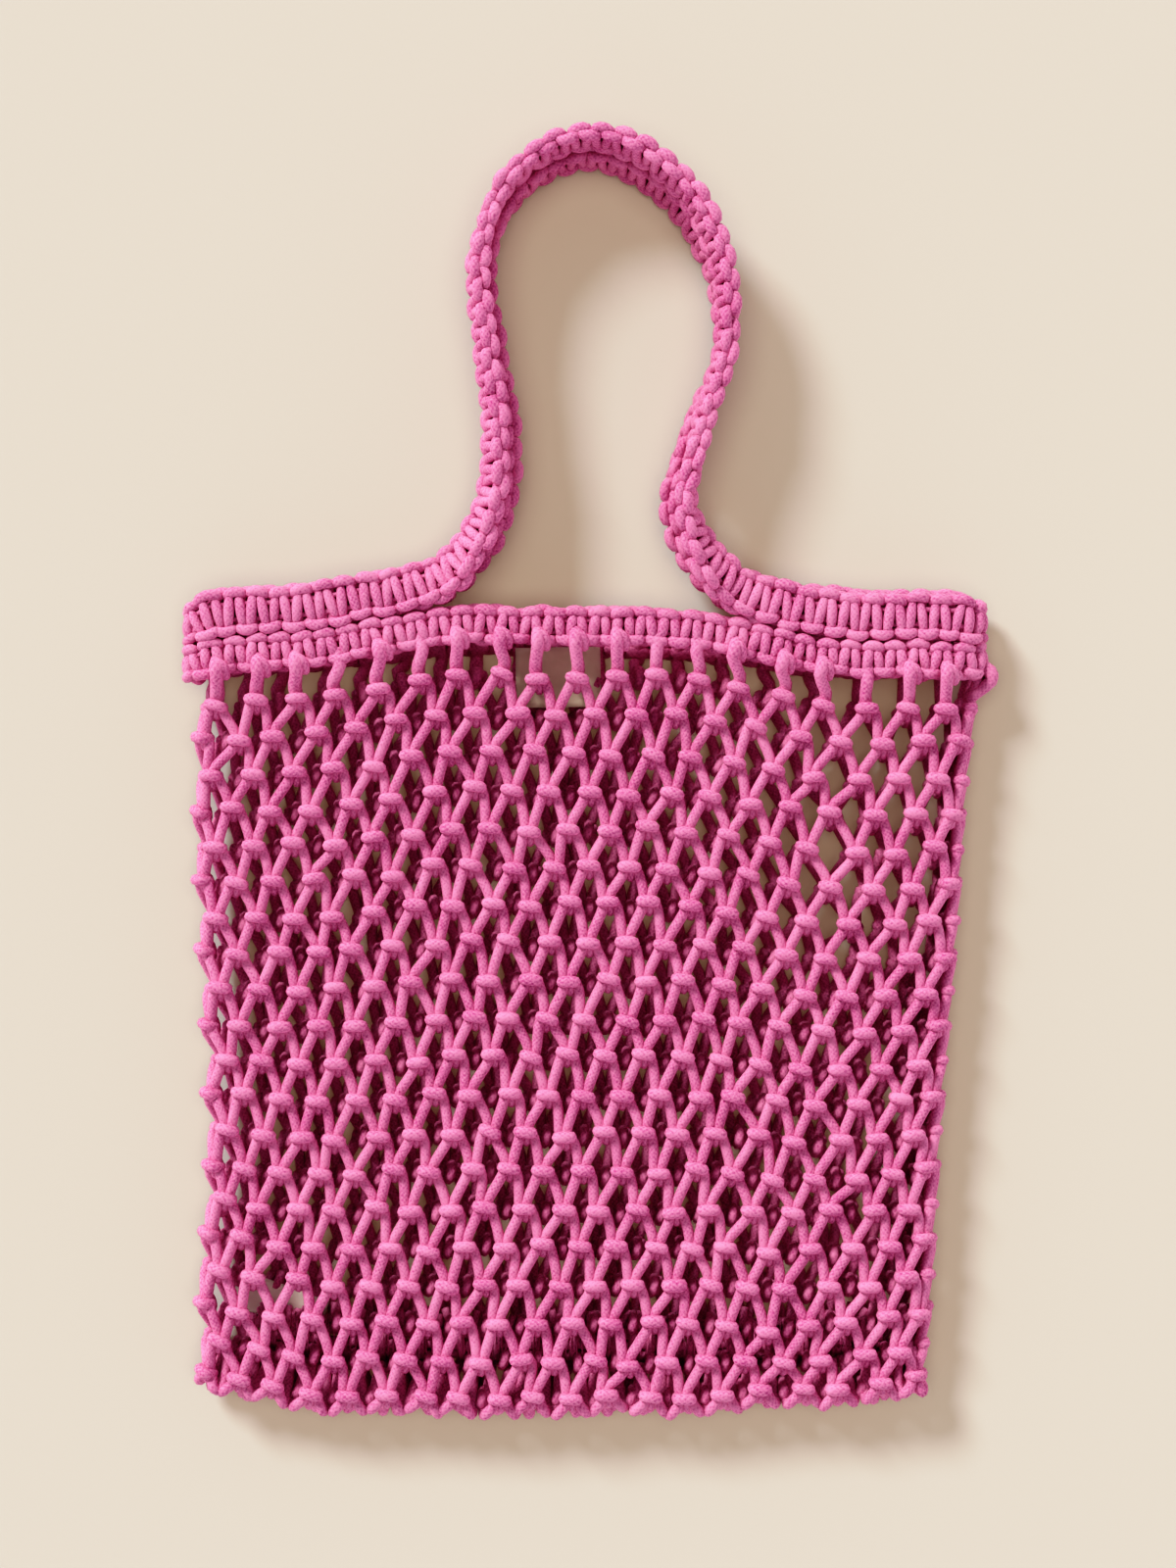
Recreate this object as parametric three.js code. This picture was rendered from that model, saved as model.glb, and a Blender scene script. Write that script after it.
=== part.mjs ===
// Macrame tote bag, lying flat with both handles laid on each other.
// A knotted cord net makes the front and back, a woven band makes the rim, and one endless
// woven strap runs along the rim at both sides and rises as the front and back handles.
// Millimetres: +X to the bag's right, +Y from its bottom to the handles, +Z up from the floor.

import * as THREE from 'three';
import { mergeVertices } from 'three/addons/utils/BufferGeometryUtils.js';

// Driving dimensions
const PIECE_GAP = 0.4; // clearance between neighbouring pieces
const HANG_GAP = 1; // clearance from the rim to the net that hangs from it and the strap along it
const NET_COLUMNS = 7; // gaps across one side of the net
const NET_ROWS = 8; // rows of knots from the rim to the bottom fold
const NET_WALL = 8; // depth of the knotted cord
const KNOT_RISE = 2; // how far a knot stands proud of the cords beside it
const FOLD_HEIGHT = 15; // height of the side and bottom folds above the floor
const FRONT_HEIGHT = { rim: 26.5, bottom: 24.5 }; // middle of the front net's wall
const SIDE_FOLD_SHARE = 0.1; // share of the net's half width that turns round a side fold
const BOTTOM_FOLD_SHARE = 0.05; // share of the net's length that turns round the bottom fold
const BAG_BOTTOM = -288; // lowest edge of the net at its middle
const CORNER_LIFT = 11; // how much higher the bottom edge lies at its two corners
const RIM_HEIGHT = 16.5; // rim band, across its two ridges
const RIM_DEPTH = 9;
const RIM_FRONT_HEIGHT = 27; // middle of the band above the floor, at the bag's front
const RIM_BACK_HEIGHT = 4.8; // and at its back
const RIM_FOLD_X = 165; // where the band and strap start to turn round the sides
const STRAP_WIDTH = 20.5;
const STRAP_DEPTH = 9;
const STRAP_RIM_HEIGHT = 27.5; // middle of the strap where it lies along the front rim
const BACK_SHIFT = { left: 0, right: 3 }; // how far the back rim lies beyond the front one
const BAND_BEVEL = 2.6; // rounded corners of the two woven bands

// Outer edges of the net. along: share of the way from the rim to the bottom fold.
const NET_SIDES = [
  { along: 0.0, left: -176, right: 179 },
  { along: 0.12, left: -178, right: 174 },
  { along: 0.35, left: -176, right: 169 },
  { along: 0.62, left: -172.5, right: 162 },
  { along: 0.86, left: -175.5, right: 157.5 },
  { along: 1.0, left: -169, right: 153 },
];

// Middle line of the front rim: it lies higher between the handles than at the sides.
const RIM_LINE = [
  { x: -RIM_FOLD_X, y: 51.5 },
  { x: -154, y: 52.2 },
  { x: -124, y: 54.4 },
  { x: -90, y: 60 },
  { x: -55, y: 65.5 },
  { x: -20, y: 64.8 },
  { x: 47, y: 63 },
  { x: 70, y: 59.5 },
  { x: 90, y: 54.6 },
  { x: 113, y: 51 },
  { x: 154, y: 49.8 },
  { x: RIM_FOLD_X, y: 49.5 },
];

// Strap from the left rim over the handle to the right rim. tilt: degrees that it turns on edge.
// tuck: how far inside the front handle the back one lies. A row with no y lies along the rim.
const STRAP_LINE = [
  { x: -RIM_FOLD_X, tilt: 0, tuck: 0 },
  { x: -154, tilt: 0, tuck: 0 },
  { x: -125, tilt: 0, tuck: 0 },
  { x: -98, tilt: 0, tuck: 0 },
  { x: -79, y: 81.5, tilt: 10, tuck: 0 },
  { x: -64, y: 88, tilt: 26, tuck: 0 },
  { x: -50, y: 99, tilt: 45, tuck: 2 },
  { x: -41, y: 116, tilt: 62, tuck: 4 },
  { x: -37.5, y: 146, tilt: 72, tuck: 5 },
  { x: -44, y: 190, tilt: 76, tuck: 3 },
  { x: -48.5, y: 230, tilt: 80, tuck: 2 },
  { x: -36, y: 262, tilt: 88, tuck: 4 },
  { x: 1, y: 281.5, tilt: 95, tuck: 6 },
  { x: 39, y: 265, tilt: 100, tuck: 6 },
  { x: 60, y: 230, tilt: 102, tuck: 3 },
  { x: 62.5, y: 192, tilt: 100, tuck: -1 },
  { x: 50, y: 146, tilt: 94, tuck: 4 },
  { x: 46, y: 116, tilt: 76, tuck: 6 },
  { x: 56, y: 94, tilt: 50, tuck: 4 },
  { x: 73, y: 81, tilt: 22, tuck: 0 },
  { x: 93, tilt: 4, tuck: 0 },
  { x: 118, tilt: 0, tuck: 0 },
  { x: 154, tilt: 0, tuck: 0 },
  { x: RIM_FOLD_X, tilt: 0, tuck: 0 },
];

// Labels sewn inside the back and the seam that gathers the cord ends along the bottom.
const WOVEN_LABEL = { x: -12, bottom: 29, width: 38, height: 27, depth: 1 };
const CARE_LABEL = { x: -134, bottom: -240, width: 42, height: 17, depth: 1 };
const SEAM = { left: -148, right: 136, aboveBottom: 30, height: 15, depth: 10.5, steps: 16, waist: 1.2 };

// Linear reading of a short table.
function readTable(table, key, at, column) {
  const last = table.length - 1;
  let i = 0;
  while (i < last - 1 && at > table[i + 1][key]) i += 1;
  const share = THREE.MathUtils.clamp((at - table[i][key]) / (table[i + 1][key] - table[i][key]), 0, 1);
  return THREE.MathUtils.lerp(table[i][column], table[i + 1][column], share);
}

// Lines of the bag in plan
function backShift(x) {
  const share = (x + RIM_FOLD_X) / (2 * RIM_FOLD_X);
  return THREE.MathUtils.lerp(BACK_SHIFT.left, BACK_SHIFT.right, THREE.MathUtils.clamp(share, 0, 1));
}

const rimCurve = new THREE.CatmullRomCurve3(RIM_LINE.map(({ x, y }) => new THREE.Vector3(x, y, 0)));
const RIM_SAMPLES = rimCurve.getPoints(120).map(({ x, y }) => ({ x, y }));

// towardsBack: 0 along the bag's front, 1 along its back, and between them round a side fold.
function rimLine(x, towardsBack) {
  return readTable(RIM_SAMPLES, 'x', x, 'y') + towardsBack * backShift(x);
}

function bottomEdge(x) {
  return BAG_BOTTOM + CORNER_LIFT * (x / RIM_FOLD_X) ** 4;
}

// Bodies from corner points and faces, merged and turned outwards.
function closedBody(corners, triangles) {
  const geometry = new THREE.BufferGeometry();
  const places = corners.flatMap((corner) => corner.toArray());
  geometry.setAttribute('position', new THREE.Float32BufferAttribute(places, 3));
  const volume = triangles.reduce((sum, [a, b, c]) => {
    const normal = new THREE.Vector3().crossVectors(corners[b], corners[c]);
    return sum + corners[a].dot(normal);
  }, 0);
  const facingOut = volume > 0 ? triangles : triangles.map(([a, b, c]) => [a, c, b]);
  geometry.setIndex(facingOut.flat());
  return mergeVertices(geometry, 1e-3);
}

// Knotted net: a sheet of rhombic meshes with the gaps left out, given its depth afterwards.
// Corners 0, 2, 4 and 6 of a mesh are knots, and the odd ones are the middles of its cords.
// The half meshes along the bottom fold are drawn shut by the looped cords there.
const MESH_RING = [
  { u: 0, v: -1, open: 0.7 },
  { u: 0.5, v: -0.5, open: 0.7 },
  { u: 1, v: 0, open: 0.5 },
  { u: 0.5, v: 0.5, open: 0.7 },
  { u: 0, v: 1, open: 0.7 },
  { u: -0.5, v: 0.5, open: 0.7 },
  { u: -1, v: 0, open: 0.5 },
  { u: -0.5, v: -0.5, open: 0.7 },
];

function netSheet() {
  const points = [];
  const quads = [];
  const known = new Map();
  const pointAt = (u, v, knot) => {
    const key = `${u.toFixed(5)} ${v.toFixed(5)}`;
    if (!known.has(key)) {
      known.set(key, points.length);
      points.push({ u, v, knot });
    }
    return known.get(key);
  };
  for (let row = 0; row <= NET_ROWS; row += 1) {
    const meshes = row % 2 === 0 ? NET_COLUMNS : NET_COLUMNS + 1;
    for (let column = 0; column < meshes; column += 1) {
      const centre = { u: (column + (row % 2 === 0 ? 0.5 : 0)) / NET_COLUMNS, v: row / NET_ROWS };
      const ring = MESH_RING.map(({ u, v, open }, i) => {
        const reach = { u: u / 2 / NET_COLUMNS, v: v / NET_ROWS };
        const cord = { u: centre.u + reach.u, v: centre.v + reach.v };
        const gap = { u: centre.u + reach.u * open, v: centre.v + reach.v * open };
        return { cord, gap, knot: i % 2 === 0 };
      });
      if (row === NET_ROWS) {
        const upper = [6, 7, 0, 1, 2].map((i) => ring[i]);
        const drawn = upper.map(({ cord, knot }) => pointAt(cord.u, cord.v, knot));
        const [left, topLeft, top, topRight, right] = drawn;
        const hem = pointAt(centre.u, centre.v, false);
        const middle = pointAt(centre.u, centre.v - 0.5 / NET_ROWS, false);
        quads.push(
          [left, topLeft, middle, hem],
          [middle, topLeft, top, topRight],
          [hem, middle, topRight, right],
        );
        continue;
      }
      ring.forEach((here, i) => {
        const next = ring[(i + 1) % ring.length];
        const middle = { u: (here.cord.u + next.cord.u) / 2, v: (here.cord.v + next.cord.v) / 2 };
        if (middle.u < 0 || middle.u > 1 || middle.v < 0 || middle.v > 1) return;
        quads.push([
          pointAt(here.cord.u, here.cord.v, here.knot),
          pointAt(next.cord.u, next.cord.v, next.knot),
          pointAt(next.gap.u, next.gap.v, false),
          pointAt(here.gap.u, here.gap.v, false),
        ]);
      });
    }
  }
  return { points, quads };
}

// Quarter turn of the wall over the last share of the way to a fold.
function foldTurn(way, share) {
  return Math.max(0, (way - 1 + share) / share) * (Math.PI / 2);
}

// Place of a point of the sheet on one side of the bag, on the wall's outer or inner face.
function netPlace({ u, v, knot }, side, outer) {
  const front = side === 'front';
  const across = 2 * u - 1;
  const sideTurn = foldTurn(Math.abs(across), SIDE_FOLD_SHARE);
  const bottomTurn = foldTurn(v, BOTTOM_FOLD_SHARE);
  const level = front
    ? THREE.MathUtils.lerp(FRONT_HEIGHT.rim, FRONT_HEIGHT.bottom, v)
    : NET_WALL / 2;
  const foldLevel = FOLD_HEIGHT + (front ? 1 : -1) * (PIECE_GAP / 2);
  const radius = Math.abs(level - foldLevel);

  const inset = NET_WALL / 2 + KNOT_RISE;
  const left = readTable(NET_SIDES, 'along', v, 'left') + inset;
  const right = readTable(NET_SIDES, 'along', v, 'right') - inset;
  const straight = (right - left) / 2 - radius;
  const flatShare = Math.min(1, Math.abs(across) / (1 - SIDE_FOLD_SHARE));
  const reach = straight * flatShare + radius * Math.sin(sideTurn);
  const x = (left + right) / 2 + Math.sign(across) * reach;

  const towardsBack = 0.5 + (front ? -0.5 : 0.5) * Math.cos(sideTurn);
  const top = rimLine(x, towardsBack) - RIM_HEIGHT / 2 - HANG_GAP;
  const bottom = bottomEdge(x) + inset + radius;
  const down = Math.min(1, v / (1 - BOTTOM_FOLD_SHARE));
  const y = THREE.MathUtils.lerp(top, bottom, down) - radius * Math.sin(bottomTurn);

  const turn = Math.max(sideTurn, bottomTurn);
  const z = level + (foldLevel - level) * (1 - Math.cos(turn));
  const normal = new THREE.Vector3(
    Math.sign(across) * Math.sin(sideTurn),
    -Math.sin(bottomTurn),
    (front ? 1 : -1) * Math.cos(sideTurn) * Math.cos(bottomTurn),
  ).normalize();
  const rise = knot && outer ? KNOT_RISE * (front ? 1 : Math.sin(turn)) : 0;
  const offset = outer ? NET_WALL / 2 + rise : -NET_WALL / 2;
  return new THREE.Vector3(x, y, z).addScaledVector(normal, offset);
}

function netBody(side) {
  const { points, quads } = netSheet();
  const count = points.length;
  const corners = [
    ...points.map((point) => netPlace(point, side, true)),
    ...points.map((point) => netPlace(point, side, false)),
  ];
  const edges = new Set(quads.flatMap((quad) => quad.map((a, i) => `${a} ${quad[(i + 1) % 4]}`)));
  const triangles = [];
  quads.forEach((quad) => {
    const [a, b, c, d] = quad;
    triangles.push([a, b, c], [a, c, d]);
    triangles.push([a + count, c + count, b + count], [a + count, d + count, c + count]);
    quad.forEach((from, i) => {
      const to = quad[(i + 1) % 4];
      if (edges.has(`${to} ${from}`)) return;
      triangles.push([from, from + count, to + count], [from, to + count, to]);
    });
  });
  return closedBody(corners, triangles);
}

// Woven bands: a flat section with rounded corners, swept round a closed line of stations.
function bandSection(width, depth) {
  const w = width / 2;
  const d = depth / 2;
  return [
    { across: w, out: d - BAND_BEVEL },
    { across: w - BAND_BEVEL, out: d },
    { across: BAND_BEVEL - w, out: d },
    { across: -w, out: d - BAND_BEVEL },
    { across: -w, out: BAND_BEVEL - d },
    { across: BAND_BEVEL - w, out: -d },
    { across: w - BAND_BEVEL, out: -d },
    { across: w, out: BAND_BEVEL - d },
  ];
}

function bandBody(stations, width, depth, stepsPerStation) {
  const section = bandSection(width, depth);
  const curve = new THREE.CatmullRomCurve3(stations.map(({ place }) => place), true);
  const count = stations.length * stepsPerStation;
  const corners = [];
  const triangles = [];
  for (let step = 0; step < count; step += 1) {
    const t = step / count;
    const here = stations[Math.floor(step / stepsPerStation)];
    const next = stations[(Math.floor(step / stepsPerStation) + 1) % stations.length];
    const share = (step % stepsPerStation) / stepsPerStation;
    const tilt = THREE.MathUtils.degToRad(THREE.MathUtils.lerp(here.tilt, next.tilt, share));
    const along = curve.getTangent(t);
    const sign = here.side === 'front' ? 1 : -1;
    const inPlan = new THREE.Vector3(-along.y * sign, along.x * sign, 0);
    if (inPlan.length() < 0.2 || Math.abs(along.z) > 0.6) inPlan.set(0, 1, 0);
    const across = inPlan.normalize().multiplyScalar(Math.cos(tilt));
    across.z -= Math.sin(tilt);
    across.addScaledVector(along, -across.dot(along)).normalize();
    const out = new THREE.Vector3().crossVectors(along, across);
    const centre = curve.getPoint(t);
    section.forEach((corner) => {
      const place = centre.clone().addScaledVector(across, corner.across).addScaledVector(out, corner.out);
      corners.push(place);
    });
    const ring = step * section.length;
    const nextRing = ((step + 1) % count) * section.length;
    section.forEach((_, i) => {
      const j = (i + 1) % section.length;
      triangles.push([ring + i, nextRing + i, nextRing + j], [ring + i, nextRing + j, ring + j]);
    });
  }
  return closedBody(corners, triangles);
}

// Round a side of the bag from one run of a band to the other, in three stations.
function foldStations(end, frontHeight, backHeight, overRim) {
  const radius = (frontHeight - backHeight) / 2;
  const turns = end > 0 ? [45, 0, -45] : [-45, 0, 45];
  return turns.map((degrees) => {
    const angle = THREE.MathUtils.degToRad(degrees);
    const x = end * (RIM_FOLD_X + radius * Math.cos(angle));
    const y = rimLine(x, 0.5 - Math.sin(angle) / 2) + overRim;
    const z = backHeight + radius + radius * Math.sin(angle);
    return { place: new THREE.Vector3(x, y, z), tilt: 0, side: degrees >= 0 ? 'front' : 'back' };
  });
}

function rimStations() {
  const run = (side, height) => RIM_LINE.map(({ x }) => (
    { place: new THREE.Vector3(x, rimLine(x, side === 'back' ? 1 : 0), height), tilt: 0, side }
  ));
  return [
    ...run('front', RIM_FRONT_HEIGHT),
    ...foldStations(1, RIM_FRONT_HEIGHT, RIM_BACK_HEIGHT, 0),
    ...run('back', RIM_BACK_HEIGHT).reverse(),
    ...foldStations(-1, RIM_FRONT_HEIGHT, RIM_BACK_HEIGHT, 0),
  ];
}

// The back run rests on the floor, and the front run on the back one wherever it leaves the rim.
function strapStations() {
  const overRim = RIM_HEIGHT / 2 + STRAP_WIDTH / 2 + HANG_GAP;
  const halfHeight = (tilt) => {
    const angle = THREE.MathUtils.degToRad(tilt);
    return (STRAP_WIDTH * Math.sin(angle) + STRAP_DEPTH * Math.abs(Math.cos(angle))) / 2;
  };
  const line = STRAP_LINE.map(({ x, y = rimLine(x, 0) + overRim }) => new THREE.Vector2(x, y));
  const run = (side) => STRAP_LINE.map(({ tilt, tuck }, i) => {
    const { x, y } = line[i];
    const backLevel = halfHeight(tilt) + PIECE_GAP;
    if (side === 'front') {
      const level = Math.max(STRAP_RIM_HEIGHT, 3 * backLevel);
      return { place: new THREE.Vector3(x, y, level), tilt, side };
    }
    const ahead = line[Math.min(i + 1, line.length - 1)].clone().sub(line[Math.max(i - 1, 0)]).normalize();
    const place = new THREE.Vector3(x + tuck * ahead.y, y + backShift(x) - tuck * ahead.x, backLevel);
    return { place, tilt, side };
  });
  return [
    ...run('front'),
    ...foldStations(1, STRAP_RIM_HEIGHT, halfHeight(0) + PIECE_GAP, overRim),
    ...run('back').reverse(),
    ...foldStations(-1, STRAP_RIM_HEIGHT, halfHeight(0) + PIECE_GAP, overRim),
  ];
}

// Labels and seam inside the bag
function labelBody({ x, bottom, width, height, depth }) {
  const label = new THREE.BoxGeometry(width, height, depth, 4, 2, 1);
  label.translate(x, bottom + height / 2, NET_WALL + PIECE_GAP + depth / 2);
  label.deleteAttribute('normal');
  label.deleteAttribute('uv');
  return mergeVertices(label);
}

// Gathered cord ends: an oval bundle, drawn in between the cords that it closes.
function seamBody() {
  const sides = 8;
  const level = NET_WALL + PIECE_GAP + SEAM.depth / 2;
  const corners = [];
  const triangles = [];
  for (let step = 0; step <= SEAM.steps; step += 1) {
    const x = THREE.MathUtils.lerp(SEAM.left, SEAM.right, step / SEAM.steps);
    const draw = step % 2 === 0 ? 0 : SEAM.waist;
    for (let i = 0; i < sides; i += 1) {
      const angle = ((i + 0.5) / sides) * 2 * Math.PI;
      const y = bottomEdge(x) + SEAM.aboveBottom + (SEAM.height / 2 - draw) * Math.cos(angle);
      const z = level + (SEAM.depth / 2 - draw / 2) * Math.sin(angle);
      corners.push(new THREE.Vector3(x, y, z));
      if (step === SEAM.steps) continue;
      const ring = step * sides;
      const nextRing = ring + sides;
      const j = (i + 1) % sides;
      triangles.push([ring + i, ring + j, nextRing + j], [ring + i, nextRing + j, nextRing + i]);
    }
  }
  const lastRing = SEAM.steps * sides;
  for (let i = 1; i < sides - 1; i += 1) {
    triangles.push([0, i + 1, i], [lastRing, lastRing + i, lastRing + i + 1]);
  }
  return closedBody(corners, triangles);
}

// The assembled bag
const CORD_PINK = { color: 0xd9679f, roughness: 0.9, metalness: 0 };
const LABEL_TAN = { color: 0xc9b08f, roughness: 0.85, metalness: 0 };
const LABEL_CREAM = { color: 0xe9dfd0, roughness: 0.8, metalness: 0 };

function piece(name, geometry, finish) {
  const mesh = new THREE.Mesh(geometry, new THREE.MeshStandardMaterial(finish));
  mesh.name = name;
  return mesh;
}

const toteBag = new THREE.Group();
toteBag.add(
  piece('net_front', netBody('front'), CORD_PINK),
  piece('net_back', netBody('back'), CORD_PINK),
  piece('rim_band', bandBody(rimStations(), RIM_HEIGHT, RIM_DEPTH, 2), CORD_PINK),
  piece('handle_strap', bandBody(strapStations(), STRAP_WIDTH, STRAP_DEPTH, 3), CORD_PINK),
  piece('woven_label', labelBody(WOVEN_LABEL), LABEL_TAN),
  piece('care_label', labelBody(CARE_LABEL), LABEL_CREAM),
  piece('bottom_seam', seamBody(), CORD_PINK),
);

export default toteBag;
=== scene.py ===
import bmesh
import bpy
import math
import numpy as np
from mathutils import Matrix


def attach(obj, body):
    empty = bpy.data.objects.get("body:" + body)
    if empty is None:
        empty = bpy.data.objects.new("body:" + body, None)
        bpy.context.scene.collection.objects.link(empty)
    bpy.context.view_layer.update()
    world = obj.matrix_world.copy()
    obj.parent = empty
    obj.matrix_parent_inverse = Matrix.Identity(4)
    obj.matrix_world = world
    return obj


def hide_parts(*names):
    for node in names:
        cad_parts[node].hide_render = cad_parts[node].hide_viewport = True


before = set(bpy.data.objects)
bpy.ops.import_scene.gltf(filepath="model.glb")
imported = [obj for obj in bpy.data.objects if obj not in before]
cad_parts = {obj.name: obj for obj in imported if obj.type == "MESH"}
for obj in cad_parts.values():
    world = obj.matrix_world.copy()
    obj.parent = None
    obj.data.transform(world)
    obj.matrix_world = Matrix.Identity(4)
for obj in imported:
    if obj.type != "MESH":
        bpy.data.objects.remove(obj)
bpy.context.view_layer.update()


# Rim band
# One closed loop of flat cotton braid round the bag's mouth, folded flat with the bag.
# Each edge is a ridge of cord beads, and pairs of bars run from ridge to ridge between them.
# Sizes are in millimetres here and below, and become metres where a mesh is made.
FOLD_X = 165.0
RIM_HEIGHT = 16.5
RIM_LEVEL = {"front": 27.0, "back": 5.6}
RIM_POINTS = 200
# The rim's middle line: x and y.
RIM_LINE = (
    (-165.0, 51.5),
    (-154.0, 52.2),
    (-124.0, 54.4),
    (-90.0, 60.0),
    (-55.0, 65.5),
    (-20.0, 64.8),
    (47.0, 63.0),
    (70.0, 59.5),
    (90.0, 54.6),
    (113.0, 51.0),
    (154.0, 49.8),
    (165.0, 49.5),
)
# How far the back of the rim lies above the front: x and height.
RIM_BACK_SHIFT = (
    (-165.0, 0.0),
    (-110.0, -0.8),
    (-65.0, -3.8),
    (0.0, -4.5),
    (60.0, -3.5),
    (110.0, 0.0),
    (165.0, 3.0),
)
UNIT_PITCH = 10.1
EDGE_OVERHANG = 0.6
BEAD = {
    "radius": 2.5,
    "half_length": 0.45,
    "out": 2.0,
    "end_turn": 1.5,
    "end_dip": 2.4,
    "end_taper": 0.25,
    "sides": 8,
}
BAR = {
    "radius": 2.45,
    "out": 2.1,
    "spread": 0.25,
    "lean": 0.11,
    "end_gap": 0.5,
    "end_dip": 1.6,
    "end_taper": 0.4,
    "sides": 8,
}
CORE = {"radius": 1.5, "apart": 0.4, "step": 4.0, "sides": 6}
# How uneven the beads and bars are: the spread of each seeded draw.
BEAD_UNEVEN = {"along": 0.035, "across": 0.45, "slant": 0.4, "out": 0.25, "size": 0.05}
BAR_UNEVEN = {"along": 0.02, "lean": 0.025, "out": 0.3, "size": 0.04}
CORD_POINTS = 7
FOLD_POINTS = 26
FOLD_DROOP = {"left": 3.5, "right": 1.0}
# Each cord's braid pattern starts at a place of its own, up to this far along.
WRAP_START = 50.0
# How far the stitches stand out, both as bumps and as painted shade in the dips between them.
STITCH_RELIEF_AND_SHADE = 0.12
PATCH_SHARE = 0.5
# The cord's light and deep tones. The deep tone is the cord's own darker fibres and also painted
# shade between the stitches.
CORD_PINK = (0.78, 0.31, 0.52)
CORD_DEEP_AND_SHADE = (0.42, 0.05, 0.22)
chance = np.random.default_rng(7)


def smooth_line(table, at):
    """Height of a smooth line through a table of (place, height) rows, at each place."""
    place, height = np.array(table, dtype=float).T
    slope = np.gradient(height, place)
    at = np.clip(at, place[0], place[-1])
    left = np.clip(np.searchsorted(place, at) - 1, 0, len(place) - 2)
    gap = place[left + 1] - place[left]
    t = (at - place[left]) / gap
    return (
        height[left] * (1 + 2 * t) * (1 - t) ** 2
        + slope[left] * gap * t * (1 - t) ** 2
        + height[left + 1] * t * t * (3 - 2 * t)
        + slope[left + 1] * gap * t * t * (t - 1)
    )


def unit(vectors):
    """The same directions, each one long."""
    return vectors / np.linalg.norm(vectors, axis=-1, keepdims=True)


def folded_band(front, back, height, trim):
    """Closed band over two runs of (x, y, level, tilt) rows from left to right, joined by folds.

    Round the folds the whole band droops, and its upper edge comes down by the trim as well.
    """
    half_turn = np.linspace(0, math.pi, FOLD_POINTS)[1:-1]

    def fold(start, end, way, sag):
        share = (1 - np.cos(half_turn)) / 2
        rows = start + share[:, None] * (end - start)
        rows[:, 0] += way * np.sin(half_turn) * abs(start[2] - end[2]) / 2
        rows[:, 1] -= (sag + trim / 2) * np.sin(half_turn)
        return rows

    right_fold = fold(front[-1], back[-1], 1, FOLD_DROOP["right"])
    left_fold = fold(back[0], front[0], -1, FOLD_DROOP["left"])
    rows = np.concatenate([front, right_fold, back[::-1], left_fold])
    in_folds = 1 - trim / height * np.sin(half_turn)
    height_share = np.concatenate([np.ones(len(front)), in_folds, np.ones(len(back)), in_folds])
    face = np.ones(len(rows))
    face[len(front) + len(half_turn) :] = -1
    place = rows[:, :3]
    ahead = unit(np.roll(place, -1, axis=0) - np.roll(place, 1, axis=0))
    level_side = np.stack([-ahead[:, 1], ahead[:, 0], 0 * face], axis=-1) * face[:, None]
    folded = np.abs(rows[:, 0]) > FOLD_X - 1
    level_side[folded] = (0, 1, 0)
    level_side = unit(level_side)
    tilt = np.radians(rows[:, 3:])
    across = np.cos(tilt) * level_side - np.sin(tilt) * np.array((0, 0, 1))
    across = unit(across - ahead * np.sum(across * ahead, axis=-1, keepdims=True))
    out = np.cross(ahead, across)
    step = np.linalg.norm(np.roll(place, -1, axis=0) - place, axis=-1)
    at = np.concatenate([[0], np.cumsum(step)])
    across = across * height_share[:, None]
    closed = [np.concatenate([part, part[:1]]) for part in (place, across, out)]
    return {"at": at, "length": at[-1], "parts": closed}


def on_band(band, along, across, out):
    """Points at distances along, across and out from a band's middle line."""
    along, across, out = np.broadcast_arrays(along, across, out)
    around = np.mod(along, band["length"])
    place, side, face = (
        np.stack([np.interp(around, band["at"], column) for column in part.T], axis=-1)
        for part in band["parts"]
    )
    return place + across[..., None] * side + out[..., None] * face


def band_cords(band, height):
    """The cords of a braided band: beads on both edges of both faces, bars between, and a core."""
    count = round(band["length"] / UNIT_PITCH)
    pitch = band["length"] / count
    ridge = height / 2 + EDGE_OVERHANG - BEAD["radius"]
    units = np.arange(count)[:, None]
    t = np.linspace(-1, 1, CORD_POINTS)

    def loose(amount):
        return chance.normal(0, amount, (count, 1))

    families = []
    for face, shift in ((1, 0.0), (-1, 0.5)):
        for edge, step in ((1, 0.0), (-1, 0.5)):
            place = units + shift + step + BEAD["half_length"] * t
            along = (place + loose(BEAD_UNEVEN["along"])) * pitch
            across = edge * (ridge + loose(BEAD_UNEVEN["across"]) - BEAD["end_turn"] * t * t)
            across = across + loose(BEAD_UNEVEN["slant"]) * t
            out = face * (BEAD["out"] + loose(BEAD_UNEVEN["out"]) - BEAD["end_dip"] * t**4)
            radius = BEAD["radius"] * (1 - BEAD["end_taper"] * t**4)
            radius = radius * (1 + loose(BEAD_UNEVEN["size"]))
            families.append((on_band(band, along, across, out), radius, BEAD["sides"]))
        for lean in (-1, 1):
            place = lean * (BAR["spread"] - BAR["lean"] * t) + loose(BAR_UNEVEN["along"])
            place = place + loose(BAR_UNEVEN["lean"]) * t
            along = (units + shift + place) * pitch
            across = (ridge - BAR["end_gap"]) * t + 0 * units
            out = face * (BAR["out"] + loose(BAR_UNEVEN["out"]) - BAR["end_dip"] * t * t)
            radius = BAR["radius"] * (1 - BAR["end_taper"] * t * t)
            radius = radius * (1 + loose(BAR_UNEVEN["size"]))
            families.append((on_band(band, along, across, out), radius, BAR["sides"]))
    along = np.linspace(0, band["length"], round(band["length"] / CORE["step"]))[None, :]
    for side in (-1, 1):
        way = on_band(band, along, side * ridge * CORE["apart"], 0.0)
        families.append((way, CORE["radius"], CORE["sides"]))
    return families


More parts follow.
